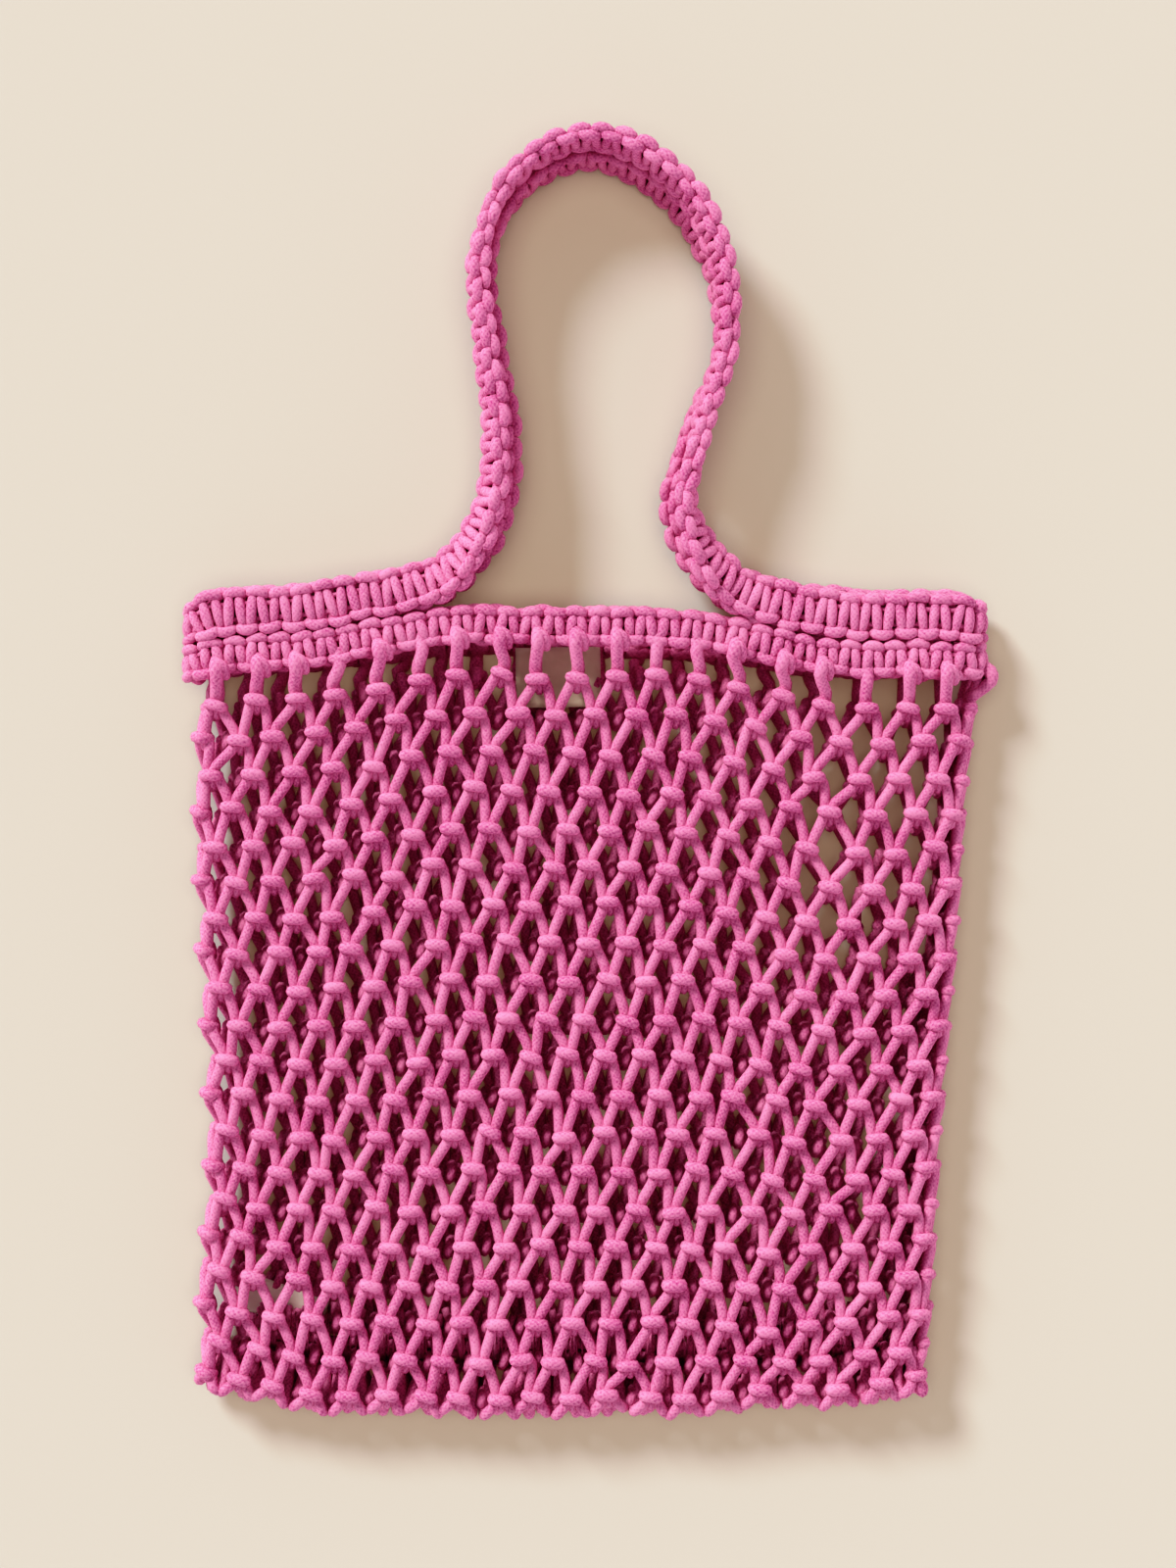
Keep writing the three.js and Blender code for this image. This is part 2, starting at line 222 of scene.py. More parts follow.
def cord_piece(name, families, material):
    """One object of many cords. A family is (runs of points, radii, sides), a row to a cord."""
    corners, faces, wraps = [], [], []
    first = 0
    for runs, radii, sides in families:
        count, points = runs.shape[:2]
        radii = np.broadcast_to(radii, (count, points))
        ahead = unit(np.gradient(runs, axis=1))
        upright = np.abs(ahead[:, 0, 2:]) > 0.9
        side = np.cross(ahead[:, 0], np.where(upright, (0.0, 1.0, 0.0), (0.0, 0.0, 1.0)))
        rings = []
        angle = np.arange(sides) * 2 * math.pi / sides
        for i in range(points):
            along = ahead[:, i]
            side = unit(side - along * np.sum(side * along, axis=-1, keepdims=True))
            other = np.cross(along, side)
            spoke = np.cos(angle)[:, None] * side[:, None] + np.sin(angle)[:, None] * other[:, None]
            rings.append(runs[:, i, None] + radii[:, i, None, None] * spoke)
        corners.append(np.stack(rings, axis=1).reshape(-1, 3))

        index = first + np.arange(count * points * sides).reshape(count, points, sides)
        after = np.roll(index, -1, axis=2)
        walls = np.stack([index[:, :-1], after[:, :-1], after[:, 1:], index[:, 1:]], axis=-1)
        faces += walls.reshape(-1, 4).tolist()
        faces += index[:, 0, ::-1].tolist()
        faces += index[:, -1].tolist()
        first += count * points * sides

        step = np.linalg.norm(np.diff(runs, axis=1), axis=-1)
        length = np.concatenate([np.zeros((count, 1)), np.cumsum(step, axis=1)], axis=1)
        length = (length + chance.uniform(0, WRAP_START, (count, 1)))[:, :, None]
        turn = np.arange(sides + 1) / sides
        low, high = length[:, :-1] + 0 * turn[:-1], length[:, 1:] + 0 * turn[:-1]
        near, far = turn[:-1] + 0 * low, turn[1:] + 0 * low
        wall_wraps = np.stack([low, near, low, far, high, far, high, near], axis=-1)
        wraps.append(wall_wraps.reshape(-1, 2))
        for end in (0, -1):
            at_end = length[:, end] + 0 * angle
            wraps.append(np.stack([at_end, 0.5 + 0 * at_end], axis=-1).reshape(-1, 2))

    mesh = bpy.data.meshes.new(name)
    mesh.from_pydata((np.concatenate(corners) / 1000).tolist(), [], faces)
    wrap = mesh.uv_layers.new(name="cord_wrap")
    wrap.data.foreach_set("uv", (np.concatenate(wraps) * (0.001, 1)).astype(np.float32).ravel())
    mesh.shade_smooth()
    mesh.materials.append(material)
    piece = bpy.data.objects.new(name, mesh)
    bpy.context.scene.collection.objects.link(piece)
    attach(piece, "root")
    return piece


def add_node(material, kind, settings=(), **inputs):
    """A new node in a material, with its settings and the values of its named sockets."""
    node = material.node_tree.nodes.new(kind)
    for key, value in dict(settings).items():
        setattr(node, key, value)
    for key, value in inputs.items():
        node.inputs[key.replace("_", " ")].default_value = value
    return node


def math_node(material, operation, *values):
    """A Math node, given numbers or the sockets that feed it."""
    node = add_node(material, "ShaderNodeMath", {"operation": operation})
    for socket, value in zip(node.inputs, values):
        if isinstance(value, bpy.types.NodeSocket):
            material.node_tree.links.new(value, socket)
        else:
            socket.default_value = value
    return node.outputs[0]


def braided_cotton(name, light, deep, strands, pitch):
    """Matte braided cord: fine crossing strands along the cord's own wrap, with loose fibres. Its
    colour goes towards the deep tone in random patches and fibres, and as painted shade where the
    strands dip.
    """
    material = bpy.data.materials.new(name)
    material.use_nodes = True
    link = material.node_tree.links.new
    surface = material.node_tree.nodes["Principled BSDF"]
    wrap = add_node(material, "ShaderNodeUVMap", {"uv_map": "cord_wrap"})
    split = add_node(material, "ShaderNodeSeparateXYZ")
    link(wrap.outputs["UV"], split.inputs[0])
    along = math_node(material, "MULTIPLY", split.outputs["X"], 2 * math.pi / pitch)
    turn = math_node(material, "MULTIPLY", split.outputs["Y"], 2 * math.pi * strands)
    rows_of_stitches = math_node(material, "SINE", along)
    crossing = math_node(material, "MULTIPLY", rows_of_stitches, math_node(material, "SINE", turn))

    place = add_node(material, "ShaderNodeTexCoord")
    fibres = add_node(material, "ShaderNodeTexNoise", Scale=950.0, Detail=3.0, Roughness=0.6)
    patches = add_node(material, "ShaderNodeTexNoise", Scale=60.0, Detail=2.0)
    link(place.outputs["Object"], fibres.inputs["Vector"])
    link(place.outputs["Object"], patches.inputs["Vector"])
    # The stitches bump the cord and darken its colour where they dip: painted shade between the
    # strands.
    raised = math_node(material, "MULTIPLY_ADD", crossing, STITCH_RELIEF_AND_SHADE, fibres.outputs["Fac"])
    tone_and_shade = math_node(material, "MULTIPLY_ADD", patches.outputs["Fac"], PATCH_SHARE, raised)

    tone = add_node(material, "ShaderNodeValToRGB")
    tone.color_ramp.elements[0].position = 0.36
    tone.color_ramp.elements[0].color = (*deep, 1)
    tone.color_ramp.elements[1].position = 0.86
    tone.color_ramp.elements[1].color = (*light, 1)
    link(tone_and_shade, tone.inputs["Fac"])
    link(tone.outputs["Color"], surface.inputs["Base Color"])

    bump = add_node(material, "ShaderNodeBump", Strength=0.7, Distance=0.0004)
    link(raised, bump.inputs["Height"])
    link(bump.outputs["Normal"], surface.inputs["Normal"])
    surface.inputs["Roughness"].default_value = 0.86
    surface.inputs["Specular IOR Level"].default_value = 0.2
    surface.inputs["Sheen Weight"].default_value = 0.12
    surface.inputs["Sheen Roughness"].default_value = 0.5
    surface.inputs["Sheen Tint"].default_value = (1.0, 0.62, 0.80, 1)
    return material


cotton_cord = braided_cotton("pink_braided_cotton", CORD_PINK, CORD_DEEP_AND_SHADE, strands=7, pitch=0.0021)
rim_x = np.linspace(-FOLD_X, FOLD_X, RIM_POINTS)
rim_back_shift = smooth_line(RIM_BACK_SHIFT, rim_x)
rim_y = smooth_line(RIM_LINE, rim_x)
rim = folded_band(
    np.stack([rim_x, rim_y, 0 * rim_x + RIM_LEVEL["front"], 0 * rim_x], axis=-1),
    np.stack([rim_x, rim_y + rim_back_shift, 0 * rim_x + RIM_LEVEL["back"], 0 * rim_x], axis=-1),
    RIM_HEIGHT,
    trim=0.0,
)
rim_band = cord_piece("rim_braid", band_cords(rim, RIM_HEIGHT), cotton_cord)
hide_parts("rim_band")


# Net
# A tube of knotted cord hung from the rim by loops: forty columns of knots round it, staggered
# from row to row, twenty rows deep. Folded flat, its front panel lies over its back panel.
COLUMNS = 40
ROWS = 20
FIRST_ROW_Y = 42.5
ROW_PITCH = 16.88
NET_BOTTOM = -286.8
CORNER_LIFT = 11.0
LAST_ROW_LIFT = {"height": 3.2, "from_x": 40.0, "to_x": 70.0}
NET_TOP = 56.0
NET_LEVEL = {"rim": 26.2, "bottom": 24.5, "back": 7.4}
SIDE_REACH = 5.4
# How strongly the columns are drawn towards the folds.
EDGE_SPREAD = {"left": 0.08, "right": 0.46}
FOLD_FLATNESS = 0.55
FOLD_SQUASH = {"left": 0.25, "right": 0.7}
# The back hangs a little lower, less so over the first and last rows.
BACK_DROP = {"height": 1.6, "first_rows": 2, "last_rows": 3}
# How far the back's knots are shifted round the net: column and shift.
BACK_TWIST = ((20.0, 0.0), (21.5, -0.13), (38.0, -0.13), (39.8, -0.35))
CORNER_TWIST = ((20.0, 0.0), (21.5, -0.47), (24.0, -0.47), (28.0, 0.0))
CORNER_ROWS = {"last": 10, "fading": 3}
BACK_SQUASH = 0.06
KNOT_STAGGER = {"odd": 0.8, "even": 0.3}
SIDE_STEP = 0.1
KNOT_UNEVEN = {"column": 0.05, "row": 0.05, "lean": 5.0, "out": 0.35, "size": 0.04}
# Share of the way down, and x of the left and right edges.
NET_SIDES = (
    (0.00, -176.0, 179.0),
    (0.12, -178.0, 174.0),
    (0.35, -176.0, 169.0),
    (0.62, -172.5, 162.0),
    (0.86, -175.5, 157.5),
    (1.00, -176.0, 154.0),
)
LEG_RADIUS = 2.4
LEG_SIDES = 8
LEG_POINTS = 9
TUCK_POINTS = 16
# Each row below is a point of the cord beside its knot: across, down and out of the net.
LEFT_LEG_START = ((-1.6, -0.6, -0.6), (-2.9, 3.4, -0.1))
LEFT_LEG_END = ((1.7, -3.4, -0.5), (1.2, 0.4, -1.3))
RIGHT_LEG_START = ((2.2, -0.4, -1.4), (3.9, 3.4, -1.3))
RIGHT_LEG_END = ((-1.8, -3.4, -1.1), (-1.3, 0.4, -1.8))
RIGHT_LEG_BULGE = 0.3
LEFT_TUCK = (
    (-4.6, 5.0, 0.0),
    (-6.4, 7.0, -1.4),
    (-7.3, 7.4, -4.2),
    (-7.0, 4.0, -7.6),
    (-5.0, -6.0, -8.8),
    (-4.0, -13.0, -9.2),
)
RIGHT_TUCK = (
    (5.2, 5.4, -1.2),
    (6.5, 7.2, -2.4),
    (7.1, 7.0, -5.2),
    (6.8, 3.0, -8.2),
    (5.2, -6.0, -9.2),
    (4.2, -13.0, -9.6),
)
BIGHT = (
    (0.3, -0.8, -0.6),
    (0.4, 3.0, -0.6),
    (0.4, 4.8, -2.2),
    (0.2, 4.2, -4.6),
    (-0.7, 2.2, -5.5),
    (-1.2, -0.8, -4.6),
    (-1.0, -2.2, -2.8),
)
BIGHT_RADIUS = {"stub": 2.0, "knob": 2.4}
BIGHT_POINTS = {"stub": 2, "knob": 5, "all": 9}
BIGHT_SIDES = 7
BACK_KNOB_RISE = 2.3
KNOT_BAR = {
    "half_width": 3.1,
    "reach": 3.7,
    "sunk": 0.2,
    "arch": 0.25,
    "slope": 0.35,
    "raised": 0.3,
    "wrap": 125.0,
    "radius": 2.6,
    "end_taper": 0.14,
    "points": 11,
    "sides": 8,
}
SQUARENESS = 0.42
# Where the two labels lie inside the back panel: the middle and size of each.
LABEL_PATCHES = {
    "woven_label": ((-12.0, 42.5), (38.0, 27.0)),
    "care_label": ((-137.0, -237.5), (42.0, 17.0)),
}
LABEL_MARGIN = 4.0
# Points of the hanging strands across and out of the rim, then beside the knot below.
HANG_RADIUS = {"head": 3.0, "strand": 2.6}
HANG_POINTS = {"head": 4, "strand": 8, "all": 12, "loop": 7, "rear": 10}
HANG_REAR_DEPTH = 3.0
HANG_OVER_SHARE = 0.7
HANG_OVER = ((-2.0, 1.0), (-4.4, 5.2), (-7.2, 6.0), (-10.0, 4.8))
HANG_BACK = ((-2.0, 0.0), (-4.4, 1.6), (-7.2, 2.2), (-10.0, 2.0))
HANG_UNDER = ((-2.0, 0.0), (-4.4, 0.8), (-7.2, 1.8), (-10.0, 2.6))
# The loop's other half beside its head: along, across and out of the rim.
HANG_LOOP = ((0.4, -3.6, 4.6), (2.4, -4.4, 4.9), (3.6, -7.0, 3.8), (3.4, -9.6, 1.0))
HANG_END = ((-0.2, -5.6, 2.2), (-0.3, -2.4, 0.6), (-0.2, 0.5, -0.6))
HANG_REAR_END = ((0.6, -5.6, -1.8), (0.5, -2.4, -1.8), (0.4, 0.5, -1.8))


def bottom_edge(x):
    """The net's lower edge, a little higher towards the corners."""
    return NET_BOTTOM + CORNER_LIFT * (x / FOLD_X) ** 4


def net_place(column, row):
    """Point and outward direction on the folded net, by column round it and row down it."""
    middle = FIRST_ROW_Y - ROW_PITCH * (row - 1)
    down = (NET_TOP - middle) / (NET_TOP - NET_BOTTOM)
    sides = np.array(NET_SIDES)
    left = smooth_line(sides[:, (0, 1)], down) + SIDE_REACH
    right = smooth_line(sides[:, (0, 2)], down) - SIDE_REACH
    front = NET_LEVEL["rim"] + (NET_LEVEL["bottom"] - NET_LEVEL["rim"]) * down
    radius = (front - NET_LEVEL["back"]) / 2
    flat = (right - left) - 2 * radius
    quarter = radius * math.pi / 2
    aside = np.mod(column, COLUMNS / 2) / (COLUMNS / 4) - 1
    on_left_half = (aside < 0) == (np.mod(column, COLUMNS) < COLUMNS / 2)
    most = np.where(on_left_half, EDGE_SPREAD["left"], EDGE_SPREAD["right"])
    spread = most * np.sign(aside) * np.abs(aside) ** 5 * (1 - np.abs(aside)) / 4
    at = np.mod(column / COLUMNS + spread, 1) * (2 * flat + 4 * quarter)
    on_front = np.clip(at - quarter, 0, flat)
    on_right = np.clip(at - quarter - flat, 0, 2 * quarter)
    on_back = np.clip(at - 3 * quarter - flat, 0, flat)
    on_left = np.clip(at, 0, quarter) + np.clip(at - 3 * quarter - 2 * flat, 0, quarter)
    angle = (on_left + on_right) / radius
    out = np.stack([-np.cos(angle), 0 * angle, np.sin(angle)], axis=-1)
    x = (left + right) / 2 - flat / 2 + on_front - on_back + radius * out[..., 0]
    rim_slope = smooth_line(RIM_LINE, x) - smooth_line(RIM_LINE, 0.0)
    y = middle + (1 - down) * rim_slope + down * (bottom_edge(x) - NET_BOTTOM)
    behind = (1 - out[..., 2]) / 2
    below_rim = np.clip((row - 1) / BACK_DROP["first_rows"], 0, 1)
    hung = below_rim * np.clip((ROWS + 1 - row) / BACK_DROP["last_rows"], 0, 1)
    lift_share = np.interp(x, (LAST_ROW_LIFT["from_x"], LAST_ROW_LIFT["to_x"]), (0, 1))
    lift = LAST_ROW_LIFT["height"] * lift_share * np.clip(row - ROWS + 1, 0, 1)
    y = y + lift - BACK_DROP["height"] * behind * hung
    z = NET_LEVEL["back"] + radius + radius * out[..., 2]
    return np.stack([x, y, z], axis=-1), unit(out * (FOLD_FLATNESS, 1, 1))


def in_knot(knots, table):
    """The points of a table beside each knot."""
    across, down, out = (np.array(column, dtype=float)[None, :, None] for column in zip(*table))
    place, side, below, face = (part[:, None] for part in knots)
    return place + across * side + down * below + out * face


def threaded(controls, count):
    """Smooth runs of points through each row of controls."""
    before = 2 * controls[:, :1] - controls[:, 1:2]
    after = 2 * controls[:, -1:] - controls[:, -2:-1]
    padded = np.concatenate([before, controls, after], axis=1)
    at = np.linspace(0, controls.shape[1] - 1, count)
    left = np.clip(at.astype(int), 0, controls.shape[1] - 2)
    t = (at - left)[None, :, None]
    a, b, c, d = (padded[:, left + i] for i in range(4))
    return 0.5 * (
        2 * b
        + (c - a) * t
        + (2 * a - 5 * b + 4 * c - d) * t**2
        + (3 * b - a - 3 * c + d) * t**3
    )


row_number, column_number = np.meshgrid(np.arange(1, ROWS + 1), np.arange(COLUMNS), indexing="ij")
odd_row = row_number % 2 == 1
grid = (ROWS, COLUMNS)
knot_column = column_number + np.where(odd_row, KNOT_STAGGER["odd"], KNOT_STAGGER["even"])
knot_column = knot_column + chance.normal(0, KNOT_UNEVEN["column"], grid)
all_over, in_corner = (np.interp(knot_column, *zip(*table)) for table in (BACK_TWIST, CORNER_TWIST))
high_rows = np.clip((CORNER_ROWS["last"] - row_number) / CORNER_ROWS["fading"], 0, 1)
knot_column += (knot_column > COLUMNS / 2) * (all_over + in_corner * high_rows)
knot_row = row_number + chance.normal(0, KNOT_UNEVEN["row"], grid)
knot_place, knot_out = net_place(knot_column, knot_row)
just_right = net_place(knot_column + SIDE_STEP, knot_row)[0]
just_left = net_place(knot_column - SIDE_STEP, knot_row)[0]
lean = np.radians(chance.normal(0, KNOT_UNEVEN["lean"], grid))[..., None]
level = unit(just_right - just_left)
fall = np.cross(level, knot_out)
knot_side = np.cos(lean) * level + np.sin(lean) * fall
knot_below = np.cross(knot_side, knot_out)
behind = (1 - knot_out[..., 2:]) / 2
on_fold = np.where(knot_out[..., :1] < 0, FOLD_SQUASH["left"], FOLD_SQUASH["right"])
flattened = on_fold * knot_out[..., :1] ** 2
knot_face = knot_out * (1 - BACK_SQUASH * behind) * (1 - flattened)
sticking_out = chance.normal(0, KNOT_UNEVEN["out"], grid)[..., None]
knot_place = knot_place + knot_out * sticking_out * (1 - behind)
knot_parts = (knot_place, knot_side, knot_below, knot_face)
lower_left = np.mod(np.where(odd_row, column_number, column_number - 1), COLUMNS)
lower_right = np.mod(lower_left + 1, COLUMNS)
front_panel = knot_column < COLUMNS / 2


def knots_at(rows, columns):
    """Places and directions of the knots at these rows and columns."""
    return tuple(part[rows, columns] for part in knot_parts)


def under_label(place):
    """Whether each place lies behind one of the labels, where the knobs are pressed flat."""
    covered = np.zeros(len(place), dtype=bool)
    for middle, size in LABEL_PATCHES.values():
        aside = np.abs(place[:, :2] - middle) - np.array(size) / 2
        covered |= np.all(aside < LABEL_MARGIN, axis=-1)
    return covered


def squared(wave):
    """A sine or cosine with its rounds made a little squarer."""
    return np.sign(wave) * np.abs(wave) ** SQUARENESS


bar_turn = np.radians(np.linspace(-KNOT_BAR["wrap"], KNOT_BAR["wrap"], KNOT_BAR["points"]))
bar_share = squared(np.sin(bar_turn))
bar_across = KNOT_BAR["half_width"] * bar_share
bar_drop = KNOT_BAR["arch"] * bar_share**2 + KNOT_BAR["slope"] * bar_share - KNOT_BAR["raised"]
bar_out = KNOT_BAR["reach"] * squared(np.cos(bar_turn)) - KNOT_BAR["sunk"]
bar_table = tuple(zip(bar_across, bar_drop, bar_out))
bar_radius = KNOT_BAR["radius"] * (1 - KNOT_BAR["end_taper"] * (bar_turn / bar_turn[-1]) ** 2)
bight_radius = np.interp(
    np.arange(BIGHT_POINTS["all"]),
    (BIGHT_POINTS["stub"], BIGHT_POINTS["knob"]),
    (BIGHT_RADIUS["stub"], BIGHT_RADIUS["knob"]),
)
hang_radius = np.interp(
    np.arange(HANG_POINTS["all"]),
    (HANG_POINTS["head"], HANG_POINTS["strand"]),
    (HANG_RADIUS["head"], HANG_RADIUS["strand"]),
)

for panel, chosen in (("front", front_panel), ("back", ~front_panel)):
    rows, columns = np.nonzero(chosen)
    knots = knots_at(rows, columns)
    size = 1 + chance.normal(0, KNOT_UNEVEN["size"], (len(rows), 1))
    bars = (in_knot(knots, bar_table), bar_radius * size, KNOT_BAR["sides"])
    raised = np.where(under_label(knots[0]), 1.0, 1.0 if panel == "front" else BACK_KNOB_RISE)
    bight_ways = in_knot((*knots[:3], knots[3] * raised[:, None]), BIGHT)
    bights = (threaded(bight_ways, BIGHT_POINTS["all"]), bight_radius * size, BIGHT_SIDES)
    ties = cord_piece(f"net_{panel}_knots", [bars, bights], cotton_cord)

    upper = rows < ROWS - 1
    rows, columns = rows[upper], columns[upper]
    knots = knots_at(rows, columns)
    left_next = knots_at(rows + 1, lower_left[rows, columns])
    right_next = knots_at(rows + 1, lower_right[rows, columns])
    left_way = [in_knot(knots, LEFT_LEG_START), in_knot(left_next, LEFT_LEG_END)]
    right_way = [in_knot(knots, RIGHT_LEG_START), in_knot(right_next, RIGHT_LEG_END)]
    bulge = (right_way[0][:, -1:] + right_way[1][:, :1]) / 2 + RIGHT_LEG_BULGE * knots[1][:, None]
    right_way.insert(1, bulge)
    legs = [
        (threaded(np.concatenate(way, axis=1), LEG_POINTS), LEG_RADIUS, LEG_SIDES)
        for way in (left_way, right_way)
    ]

    # The lowest legs turn in round the bottom edge, towards the seam inside.
    columns = np.nonzero(chosen[ROWS - 1])[0]
    last = knots_at(np.full(len(columns), ROWS - 1), columns)
    for start, tuck in ((LEFT_LEG_START, LEFT_TUCK), (RIGHT_LEG_START, RIGHT_TUCK)):
        way = in_knot(last, start + tuck)
        legs.append((threaded(way, TUCK_POINTS), LEG_RADIUS, LEG_SIDES))

    # The highest knots hang from the rim, most of them by a loop over its lower ridge.
    columns = np.nonzero(chosen[0])[0]
    first_knots = knots_at(np.zeros(len(columns), dtype=int), columns)
    reach = rim["parts"][0][None, :, (0, 2)] - first_knots[0][:, None, (0, 2)]
    at = rim["at"][np.argmin(np.linalg.norm(reach, axis=-1), axis=1)][:, None]
    over = np.array(HANG_OVER if panel == "front" else HANG_BACK)
    under = np.array(HANG_UNDER)
    looped = chance.random(len(columns)) < HANG_OVER_SHARE
    way = np.where(looped[:, None, None], over, under)
    hung = on_band(rim, at, way[..., 0], way[..., 1])
    way = np.concatenate([hung, in_knot(first_knots, HANG_END)], axis=1)
    legs.append((threaded(way, HANG_POINTS["all"]), hang_radius, LEG_SIDES))
    if panel == "front":
        beside_head, across_rim, out_of_rim = np.array(HANG_LOOP).T
        way = on_band(rim, at[looped] + beside_head, across_rim, out_of_rim)
        legs.append((threaded(way, HANG_POINTS["loop"]), LEG_RADIUS, LEG_SIDES))
    rear_head = on_band(rim, at, under[:, 0], under[:, 1] - HANG_REAR_DEPTH)
    way = np.concatenate([rear_head, in_knot(first_knots, HANG_REAR_END)], axis=1)
    legs.append((threaded(way, HANG_POINTS["rear"]), LEG_RADIUS, LEG_SIDES))

    strands = cord_piece(f"net_{panel}_strands", legs, cotton_cord)
    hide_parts(f"net_{panel}")


# Bottom seam
# Inside the bag the cord ends of both panels are gathered in a roll along the bottom,
# wrapped by short turns of cord and sewn over with thin pink thread.
SEAM = {"left": -148.0, "right": 136.0, "above_bottom": 32.5, "level": 13.2}
# Columns: how far up the bag and how high each roll lies, and where its waves start.
SEAM_ROLLS = ((-6.2, 0.0, 0.0), (-2.0, 1.2, 2.0), (2.4, 0.8, 5.0), (6.4, -0.4, 4.0))
SEAM_ROLL = {
    "radius": 2.5,
    "margin": 3,
    "sway": 0.8,
    "sway_step": 5,
    "rise": 0.5,
    "rise_step": 7,
    "points": 60,
    "sides": 8,
}
SEAM_TURN = {
    "radius": 2.0,
    "margin": 6,
    "pitch": 8.6,
    "half_length": 8.2,
    "top": 3.4,
    "arch": 4.2,
    "slant": 2.0,
    "points": 7,
    "sides": 8,
}
SEAM_END = {
    "radius": 1.9,
    "margin": 5,
    "pitch": 5.2,
    "start": 6.0,
    "shortest": 4,
    "longest": 9,
    "sway": 2.0,
    "top": 2.4,
    "drop": 2.0,
    "uneven": 0.6,
    "points": 5,
    "sides": 7,
}
STITCH = {
    "radius": 0.35,
    "margin": 5,
    "pitch": 2.4,
    "half_length": 9.4,
    "top": 5.6,
    "arch": 4.6,
    "slant": 0.9,
    "points": 5,
    "sides": 5,
}


def along_seam(piece):
    """Places along the seam at the pitch of a piece, inside its margin."""
    start, end = SEAM["left"] + piece["margin"], SEAM["right"] - piece["margin"]
    return np.arange(start, end, piece["pitch"])


def over_seam(piece):
    """Short cords that arch over the seam, each with a slant of its own."""
    x = along_seam(piece)
    slant = chance.normal(0, piece["slant"], (len(x), 1))
    share = np.linspace(-1, 1, piece["points"])
    y = bottom_edge(x)[:, None] + SEAM["above_bottom"] + piece["half_length"] * share
    level = SEAM["level"] + piece["top"] - piece["arch"] * share**2 + 0 * y
    return np.stack([x[:, None] + slant * share, y, level], axis=-1)


seam_span = (SEAM["left"] + SEAM_ROLL["margin"], SEAM["right"] - SEAM_ROLL["margin"])
seam_x = np.linspace(*seam_span, SEAM_ROLL["points"])
seam_y = bottom_edge(seam_x) + SEAM["above_bottom"]
seam_rolls = []
for offset, rise, phase in SEAM_ROLLS:
    roll_y = seam_y + offset + SEAM_ROLL["sway"] * np.sin(seam_x / SEAM_ROLL["sway_step"] + phase)
    roll_wave = SEAM_ROLL["rise"] * np.sin(seam_x / SEAM_ROLL["rise_step"] + phase)
    roll = np.stack([seam_x, roll_y, SEAM["level"] + rise + roll_wave], axis=-1)
    seam_rolls.append((roll[None], SEAM_ROLL["radius"], SEAM_ROLL["sides"]))
seam_turns = (over_seam(SEAM_TURN), SEAM_TURN["radius"], SEAM_TURN["sides"])
end_x = along_seam(SEAM_END)[:, None]
end_share = np.linspace(0, 1, SEAM_END["points"])
end_way = chance.normal(0, SEAM_END["sway"], end_x.shape) * end_share
end_length = chance.uniform(SEAM_END["shortest"], SEAM_END["longest"], end_x.shape)
end_reach = SEAM_END["start"] + end_length * end_share
end_uneven = chance.normal(0, SEAM_END["uneven"], end_x.shape)
end_level = SEAM["level"] + SEAM_END["top"] - SEAM_END["drop"] * end_share + end_uneven
end_y = bottom_edge(end_x) + SEAM["above_bottom"] + end_reach
ends = np.stack([end_x + end_way, end_y, end_level], axis=-1)
seam_ends = (ends, SEAM_END["radius"], SEAM_END["sides"])
seam_roll = cord_piece("seam_roll", [*seam_rolls, seam_turns, seam_ends], cotton_cord)
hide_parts("bottom_seam")

stitches = (over_seam(STITCH), STITCH["radius"], STITCH["sides"])
sewing_thread = braided_cotton("pink_sewing_thread", CORD_PINK, CORD_DEEP_AND_SHADE, strands=2, pitch=0.0012)
seam_stitches = cord_piece("seam_stitches", [stitches], sewing_thread)


# Handle strap
# One more closed loop of the same braid, wider than the rim. It is sewn along the rim's upper
# edge and rises as a handle on each face, where it turns on edge.
STRAP_HEIGHT = 20.5
STRAP_DEPTH = 9.0
STRAP_LEVEL = 27.5
STRAP_RIM_GAP = 0.4
STRAP_BACK_SHIFT = 3.0
STRAP_FLOOR_GAP = 1.8
STRAP_FOLD_TRIM = 4.0
STRAP_POINTS = 420
# Columns: x, y, tilt and how far the back handle is tucked inside the front one.
# Rows with no y lie on the rim.
STRAP_LINE = (
    (-165.0, None, 0.0, 0.0),
    (-154.0, None, 0.0, 0.0),
    (-125.0, None, 0.0, 0.0),
    (-98.0, None, 0.0, 0.0),
    (-79.0, 81.4, 10.0, 0.0),
    (-64.0, 86.2, 26.0, 0.0),
    (-52.0, 98.0, 45.0, 2.0),
    (-43.0, 115.0, 62.0, 4.0),
    (-39.5, 146.0, 72.0, 5.0),
    (-44.0, 190.0, 76.0, 3.0),
    (-46.5, 230.0, 80.0, 2.0),
    (-34.5, 260.5, 88.0, 4.0),
    (1.5, 280.5, 95.0, 6.0),
    (38.5, 264.0, 100.0, 6.0),
    (59.0, 230.0, 102.0, 3.0),
    (62.5, 192.0, 100.0, -1.0),
    (50.0, 146.0, 94.0, 4.0),
    (45.0, 115.0, 76.0, 6.0),
    (54.5, 94.0, 50.0, 4.0),
    (70.0, 79.6, 22.0, 0.0),
    (93.0, None, 4.0, 0.0),
    (118.0, None, 0.0, 0.0),
    (154.0, None, 0.0, 0.0),
    (165.0, None, 0.0, 0.0),
)


